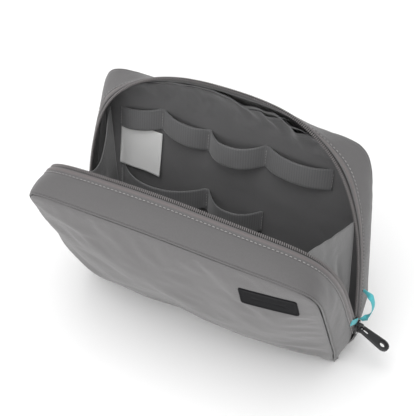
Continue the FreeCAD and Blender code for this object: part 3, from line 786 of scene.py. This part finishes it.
def front_back_sheet():
    """Inner sheet of the front tray, over its padding."""
    columns, rows = 90, 70

    def depth_of(a, b):
        return 27.0 - 2.5 * (fillet(a / 0.05) + fillet((1 - a) / 0.05) + fillet((1 - b) / 0.06))

    grid = across_tray(FRONT, depth_of, 3.2, columns, rows)
    x, up = grid[..., 0], grid[..., 2]
    a, b = shares(columns, rows)
    inner = smooth(a / 0.1) * smooth((1 - a) / 0.1) * smooth(b / 0.1) * smooth((1 - b) / 0.1)
    flat = grid[..., [0, 2]]
    grid[..., 1] += inner * (0.9 * uneven(flat, 60, 91) + creases(x, up, INNER_CREASES))
    piece = make_cloth("front_inner_sheet", place(FRONT, grid), LINING, 0.5, offset=0.0)
    finish_piece(piece, FRONT)


def band_path(stitches_at, heights, bulges):
    """Where a band runs: x, depth and centre height, flat at each stitch and bulging between."""
    xs, depths, ups = [], [], []
    for index, bulge in enumerate(bulges):
        left, right = stitches_at[index], stitches_at[index + 1]
        t = np.linspace(-1, 1, 34, endpoint=index == len(bulges) - 1)
        arch = dome(t / 0.95, 2.3)
        xs.append((left + right) / 2 + t * (right - left) / 2)
        depths.append(WALL_DEPTH - 0.9 - bulge * arch)
        low, high = heights[index], heights[index + 1]
        ups.append(low + (high - low) * (t + 1) / 2 - 0.16 * bulge * arch)
    return np.concatenate(xs), np.concatenate(depths), np.concatenate(ups)


def elastic_band(name, stitches_at, heights, bulges):
    x, depth, up = band_path(stitches_at, heights, bulges)
    rows = np.linspace(-0.5, 0.5, 13)
    tilt = (WALL_DEPTH - depth) * 0.12
    grid = np.stack([np.broadcast_to(x[:, None], (len(x), 13)), depth[:, None] - tilt[:, None] * rows,
                     up[:, None] + rows * BAND_HEIGHT], -1)
    grid[..., 1] += 0.25 * uneven(grid, 16, 101)
    piece = make_cloth(name + "_cloth", place(REAR, grid), ELASTIC, 0.9, offset=0.0)
    length = float(np.hypot(np.diff(x), np.diff(depth)).sum()) * MM
    finish_piece(piece, REAR, [name])
    for index, (at, height) in enumerate(zip(stitches_at, heights)):
        line = np.linspace(height - BAND_HEIGHT / 2 + 1.5, height + BAND_HEIGHT / 2 - 1.5, 8)
        path = place(REAR, np.stack([np.full(8, at), np.full(8, WALL_DEPTH - 1.45), line], -1))
        front = place(REAR, np.array([[at, 0.0, height]])) - place(REAR, np.array([[at, 5.0, height]]))
        out = np.repeat(unit(front), 8, axis=0)
        finish_piece(thread_row("%s_tack_%d" % (name, index + 1), path, out, 2.4, 1.8, 0.5), REAR)


# Blank label, in the rear tray's own frame
LABEL_LEFT = -103.0
LABEL_TOP = 86.0
LABEL_SIZE = (37.0, 38.0)


def care_label():
    """Blank label, sewn in under the upper band, with a slight curl."""
    a, b = shares(24, 28)
    curl = 2.2 * (1 - b) ** 2 * (0.4 + 0.6 * a) + 0.5 * np.sin(a * 7.0) * (1 - b)
    hang = LABEL_SIZE[1] * (1 - b) + 1.5 * a
    grid = np.stack([LABEL_LEFT + LABEL_SIZE[0] * a, WALL_DEPTH - 0.9 - curl, LABEL_TOP - hang], -1)
    piece = make_cloth("care_label_cloth", place(REAR, grid), LABEL, 0.25, offset=0.0)
    finish_piece(piece, REAR, ["care_label"])


# Corners of each wing in its tray's own x, depth and up: rear top, rear foot, front top, front foot
WINGS = {
    "left": {"side": -1, "sag": 0.38, "rear": [(-107.0, 14.0, 101.0), (-99.0, 20.0, 8.0)],
             "front": [(-98.5, 0.0, 117.0), (-110.0, 2.0, 4.0)]},
    "right": {"side": 1, "sag": 0.05, "rear": [(103.5, 2.5, 78.0), (108.6, 1.0, 5.0)],
              "front": [(99.5, 0.0, 119.0), (108.6, 1.0, 5.0)]}}


def side_wing(name):
    """Cloth wedge between the trays: its free edge sags, and it bows inward."""
    wing = WINGS[name]
    side = wing["side"]
    rear_top, rear_foot = (place(REAR, np.array(point)) for point in wing["rear"])
    front_top, front_foot = (place(FRONT, np.array(point)) for point in wing["front"])
    a, b = shares(36, 40)
    reach = (b * (1 - wing["sag"] * np.sin(math.pi * a) ** 1.2))[..., None]
    grid = between(between(rear_foot, rear_top, reach), between(front_foot, front_top, reach), a[..., None])
    bow = 3.0 * np.sin(math.pi * a) * b + 0.8 * uneven(grid, 30, 111) * b * np.sin(math.pi * a)
    grid[..., 0] -= side * (bow + creases(a * 60, b * 110, WING_CREASES))
    piece = make_cloth(name + "_wing_cloth", grid, WING, 0.5, offset=0.0)
    sides = np.diff(grid[:-1], axis=1), np.diff(grid[:, :-1], axis=0)
    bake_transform(piece)
    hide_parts(name + "_side_wing")


BASE_MIDDLE = 7.0           # the base's centre line, behind the fold
BASE_HALF = (110.8, 18.3)   # half its length at the front edge, and half its width
BASE_NARROWER = 6.3         # it is shorter by this at each end behind the fold
BASE_THICK = 1.2
BASE_PROFILE = [(0.001, 0.0), (0.5, 0.0), (0.97, 0.0), (0.99, 0.12), (1.0, 0.6), (0.99, 1.05),
                (0.97, BASE_THICK), (0.5, BASE_THICK), (0.001, BASE_THICK)]


def base_cloth():
    """Outer base that the pouch stands on."""
    turn = np.linspace(0, 2 * math.pi, 160, endpoint=False)
    shape = (np.abs(np.cos(turn)) ** 12 + np.abs(np.sin(turn)) ** 12) ** (-1 / 12)
    y = BASE_HALF[1] * shape * np.sin(turn)
    narrower = BASE_NARROWER * smooth((y + BASE_MIDDLE + 11) / 10)
    x = (BASE_HALF[0] - narrower) * shape * np.cos(turn)
    loops = [np.stack([x * share, BASE_MIDDLE + y * share, np.full_like(x, high)], -1)
             for share, high in BASE_PROFILE]
    grid = np.stack(loops, 1)
    grid = np.concatenate([grid, grid[:1]])
    piece = make_cloth("base_cloth", grid, OUTER, away=(0, BASE_MIDDLE, BASE_THICK / 2))
    finish_piece(piece, REAR, ["base_panel"])


def base_lining():
    """Lining that covers the base inside, turned up at its edges."""
    a, b = np.meshgrid(np.linspace(-1, 1, 61), np.linspace(-1, 1, 21))
    lift = 2.5 * np.abs(a) ** 10 + 3.0 * np.abs(b) ** 6
    grid = np.stack([106.5 * a, 6.5 + 15.5 * b, 3.4 + lift], -1)
    grid[..., 2] += 0.25 * uneven(grid, 24, 121)
    piece = make_cloth("base_lining", grid, LINING, 0.4, offset=0.0)
    finish_piece(piece, REAR)


# ---------------- small parts

def rounded_outline(width, height, radius, steps=10):
    """Evenly spaced points round a rectangle with round corners."""
    points = []
    for corner, (sx, sy) in enumerate(((1, 1), (-1, 1), (-1, -1), (1, -1))):
        for step in range(steps + 1):
            turn = math.pi / 2 * (corner + step / steps)
            points.append((sx * (width / 2 - radius) + radius * math.cos(turn),
                           sy * (height / 2 - radius) + radius * math.sin(turn)))
    points = np.array(points + points[:1])
    gone = lengths_along(points)
    return read_at(np.linspace(0, gone[-1], 12 * steps, endpoint=False), gone, points)


PATCH_CORNER = 1.8
TAB_CORNER = 1.6
CLEAR_OF_FACE = 80.0        # a depth well outside the front face
# Profiles from the edge inward: (inset from the outline, how far out)
PATCH_PROFILE = [(0.0, -0.9), (0.0, 0.35), (0.25, 0.65), (1.0, 0.65), (1.25, 0.45), (3.0, 0.45), (6.0, 0.45),
                 (9.0, 0.45)]
TAB_PROFILE = [(0.0, -0.9), (0.0, 0.15), (0.3, 0.5), (0.9, 0.62), (1.3, 0.45), (2.0, 0.62), (3.4, 0.75)]


def capped(loops):
    """Grid of closed loops that ends in a cap over their middle."""
    grid = np.stack([*loops, between(loops[-1], loops[-1].mean(0), 0.98)], 1)
    return np.concatenate([grid, grid[:1]])


def bent_terms(x, up):
    """Terms of a smooth bent surface about the patch's middle."""
    dx, du = x - PATCH_AT[0], up - PATCH_AT[1]
    return np.stack([np.ones_like(dx), dx, du, dx * dx, dx * du, du * du], -1)


def face_under(face, x, up):
    """The smooth bent surface nearest the finished front face at the given points, and how far above it
    the face comes."""
    bpy.context.view_layer.update()
    tree = BVHTree.FromObject(face, bpy.context.evaluated_depsgraph_get())
    near, far = (place(FRONT, np.array([0.0, depth, 50.0])) for depth in (0.0, 60.0))
    inward = Vector(near - far).normalized()
    found = []
    for one_x, one_up in zip(x, up):
        start = Vector(place(FRONT, np.array([one_x, CLEAR_OF_FACE, one_up])) * MM)
        found.append(CLEAR_OF_FACE - tree.ray_cast(start, inward)[3] / MM)
    terms = bent_terms(x, up)
    fit = np.linalg.lstsq(terms, np.array(found), rcond=None)[0]
    return fit, float((np.array(found) - terms @ fit).max())


def front_patch(face):
    """Blank rubber patch with a raised border, lying on the front face."""
    middle, half = np.array(PATCH_AT), np.array(PATCH_SIZE) / 2
    outline = rounded_outline(*PATCH_SIZE, PATCH_CORNER)
    tests = np.concatenate([outline * share for share in (1.0, 0.8, 0.6, 0.4, 0.2)]) + middle
    fit, above = face_under(face, tests[:, 0], tests[:, 1])
    loops = []
    for inset, high in PATCH_PROFILE:
        x, up = (middle + outline * np.maximum((half - inset) / half, 0.01)).T
        loops.append(np.stack([x, bent_terms(x, up) @ fit + above + high, up], -1))
    piece = make_cloth("front_patch_rubber", place(FRONT, capped(loops)), PATCH, away=centre_of(FRONT))
    finish_piece(piece, FRONT, ["front_patch"], bends=False)


def end_tab(side):
    """Folded cloth tab over the zip's end, with a stitched border."""
    name = "left" if side < 0 else "right"
    low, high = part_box(name + "_end_tab")
    centre = np.array((low + high) / 2) / MM
    size = np.array(high - low) / MM
    outline = rounded_outline(size[1] + 0.6, size[2] + 0.4, TAB_CORNER)
    loops = []
    for inset, out in TAB_PROFILE:
        flat = outline * (1 - 2 * inset / size[1:])
        loops.append(np.stack([np.full(len(flat), centre[0] + side * out), centre[1] + flat[:, 0],
                               centre[2] + flat[:, 1]], -1))
    grid = capped(loops)
    grid[..., 0] -= side * tucked(grid[..., 2] - FOLD, 0.0)
    inside = tuple(centre - np.array([side * 4.0, 0, 0]))
    piece = make_cloth(name + "_tab_cloth", grid, OUTER, away=inside)
    finish_piece(piece, REAR, [name + "_end_tab"])


RIBBON_ROUTE = [(0.1158, 0.0130, 0.0582), (0.1198, 0.0125, 0.0570), (0.1234, 0.0115, 0.0546),
                (0.1257, 0.0102, 0.0508), (0.1261, 0.0089, 0.0460), (0.1246, 0.0076, 0.0412),
                (0.1218, 0.0064, 0.0375), (0.1187, 0.0055, 0.0353)]
RIBBON_WIDTH = 4.6
RIBBON_THICK = 0.5
RIBBON_END = ((1.4, -2.6), (7.6, 9.4))      # depth and up of its sewn end on the front gusset


def route_line(points):
    """Evenly read points of a cord's smooth line."""
    curve = bpy.data.curves.new("route", "CURVE")
    curve.dimensions = "3D"
    spline = curve.splines.new("NURBS")
    spline.points.add(len(points) - 1)
    for control, point in zip(spline.points, points):
        control.co = (*point, 1.0)
    spline.order_u = 3
    spline.use_endpoint_u = True
    spline.resolution_u = 12
    holder = add_object("route", curve)
    mesh = bpy.data.meshes.new_from_object(holder)
    line = np.array([vertex.co for vertex in mesh.vertices])
    bpy.data.objects.remove(holder)
    return line


def ribbon_loop():
    """Flat ribbon that leaves the rear gusset, bows out and comes back beside the slider, turning."""
    line = route_line(RIBBON_ROUTE)
    run = unit(np.gradient(line, axis=0))
    t = np.linspace(0, 1, len(line))[:, None]
    upright = np.clip(smooth(1 - t / 0.35) + smooth((t - 0.75) / 0.25), 0, 1)
    wide = between(np.array([0.0, 1.0, 0.15]), np.array([0.0, -0.25, 1.0]), upright)
    wide = unit(wide - run * (wide * run).sum(1, keepdims=True))
    out = np.cross(run, wide)
    half = [(-0.5, -0.3), (-0.46, -0.5), (-0.2, -0.5), (0.2, -0.5), (0.46, -0.5), (0.5, -0.3)]
    section = half + [(-w, -h) for w, h in half]
    loops = [line / MM + wide * (w * RIBBON_WIDTH) + out * (h * RIBBON_THICK) for w, h in section]
    piece = make_cloth("ribbon_band", np.stack(loops, 1), RIBBON, wrap=True)
    finish_piece(piece, REAR, ["ribbon_loop"])
    length = float(lengths_along(line)[-1])
    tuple(RIBBON_ROUTE[0])


def ribbon_end():
    """The ribbon's other sewn end, flat on the front gusset beside the zip."""
    start, end = (np.array(point) for point in RIBBON_END)
    run = unit(end - start)
    side = np.array([-run[1], run[0]])
    a, b = np.meshgrid(np.linspace(0, 1, 9), np.linspace(-0.5, 0.5, 7))
    flat = between(start, end, a[..., None]) + side * (RIBBON_WIDTH * b)[..., None]
    out = HALF + 0.75 - 0.96 * np.abs(a - 0.5) ** 3 - 3.24 * flat[..., 0] / TRAY_DEPTH
    grid = np.stack([out, flat[..., 0], flat[..., 1]], -1)
    piece = make_cloth("ribbon_end", place(FRONT, grid), RIBBON, 0.5, away=centre_of(FRONT), offset=0.0)
    finish_piece(piece, FRONT, bends=False)
    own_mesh(piece)


BROKEN_EDGES = {"slider_body": (SLIDER, 0.35), "slider_bridge": (SLIDER, 0.3), "puller_tab": (PULLER, 0.3),
                "zip_stop": (SLIDER, 0.25), "base_board": (BOARD, 0.2), "rear_board": (BOARD, 0.2)}


def hard_parts():
    """CAD slider, bridge, puller, stop and hidden boards keep their shape, finished and with edges broken."""
    for node, (material, bevel) in BROKEN_EDGES.items():
        piece = frame["nodes"][node]
        piece.data.materials.clear()
        piece.data.materials.append(material)
        edge = piece.modifiers.new("broken_edges", "BEVEL")
        edge.width = bevel * MM
        edge.segments = 2
        edge.angle_limit = math.radians(40)
        edge.harden_normals = False


def stage():
    """Pale floor, soft studio light and the camera."""
    bpy.ops.mesh.primitive_plane_add(size=8)
    floor = bpy.context.object
    floor.name = "floor"
    material, _, shader = new_material("floor", 0.9)
    shader.inputs["Base Color"].default_value = (0.97, 0.97, 0.97, 1)
    floor.data.materials.append(material)
    world = bpy.data.worlds.new("studio")
    bpy.context.scene.world = world
    world.use_nodes = True
    tree = world.node_tree
    heading = tree.nodes.new("ShaderNodeSeparateXYZ")
    tree.links.new(tree.nodes.new("ShaderNodeTexCoord").outputs["Generated"], heading.inputs[0])
    light = value(tree, "ADD", value(tree, "MULTIPLY", heading.outputs[0], WORLD_RIGHT), WORLD_LIGHT)
    light = value(tree, "SUBTRACT", light, value(tree, "MULTIPLY", heading.outputs[1], WORLD_FRONT))
    tree.nodes["Background"].inputs["Color"].default_value = (1, 1, 1, 1)
    tree.links.new(light, tree.nodes["Background"].inputs["Strength"])
    for name, place_at, size, power in LIGHTS:
        data = bpy.data.lights.new(name, "AREA")
        data.size = size
        data.energy = power
        lamp = add_object(name, data)
        lamp.location = place_at
        aim = Vector((0, 0, 0.08)) - Vector(place_at)
        lamp.rotation_euler = aim.to_track_quat("-Z", "Y").to_euler()


WORLD_LIGHT = 0.9
WORLD_RIGHT = -0.05         # how much brighter it is toward the right
WORLD_FRONT = 0.5           # and toward the front
LIGHTS = [("key", (0.1, -0.4, 1.5), 1.2, 9.0), ("front", (0.2, -1.6, 0.9), 1.4, 5.0)]
CAMERA = {"azimuth": 29.3, "elevation": 41.1, "distance": 0.917, "lens": 104.8, "roll": -1.1,
          "target": (-0.0130, 0.0117, 0.0873)}


def camera():
    azimuth, elevation, roll = (math.radians(CAMERA[key]) for key in ("azimuth", "elevation", "roll"))
    back = Vector((math.sin(azimuth) * math.cos(elevation), -math.cos(azimuth) * math.cos(elevation),
                   math.sin(elevation)))
    level = Vector((math.cos(azimuth), math.sin(azimuth), 0))
    upward = back.cross(level)
    right = level * math.cos(roll) + upward * math.sin(roll)
    up = upward * math.cos(roll) - level * math.sin(roll)
    spot = Vector(CAMERA["target"]) + back * CAMERA["distance"]
    data = bpy.data.cameras.new("camera")
    data.sensor_width = 36.0
    data.lens = CAMERA["lens"]
    taken = add_object("camera", data)
    taken.matrix_world = Matrix([(right[i], up[i], back[i], spot[i]) for i in range(3)] + [(0, 0, 0, 1)])
    bpy.context.scene.camera = taken
    bpy.context.scene.view_settings.view_transform = "Standard"


stage()
camera()
hard_parts()
for tray_name, tray in (("front", FRONT), ("rear", REAR)):
    gusset(tray_name, tray)
    facing(tray_name, tray)
    piping(tray_name, tray)
    stitches(tray_name, tray)
    zip_tape(tray_name, tray)
    zip_teeth(tray_name, tray)
front_face = face_sheet("front_face", FRONT, front_face_depth, 92, 70, 0.8)
finish_piece(front_face, FRONT, ["front_panel", "front_foam"])
rear_face = face_sheet("rear_face", REAR, rear_swell, 84, 62, 0.4)
finish_piece(rear_face, REAR, ["rear_panel", "rear_foam"])
lining_wall("front", FRONT, 25.5)
lining_wall("rear", REAR, 24.5)
organizer_wall()
front_back_sheet()
elastic_band("upper_elastic_band", UPPER_STITCHES, UPPER_HEIGHTS, UPPER_BULGES)
elastic_band("lower_elastic_band", LOWER_STITCHES, LOWER_HEIGHTS, LOWER_BULGES)
care_label()
side_wing("left")
side_wing("right")
base_cloth()
base_lining()
front_patch(front_face)
end_tab(-1)
end_tab(1)
ribbon_loop()
ribbon_end()
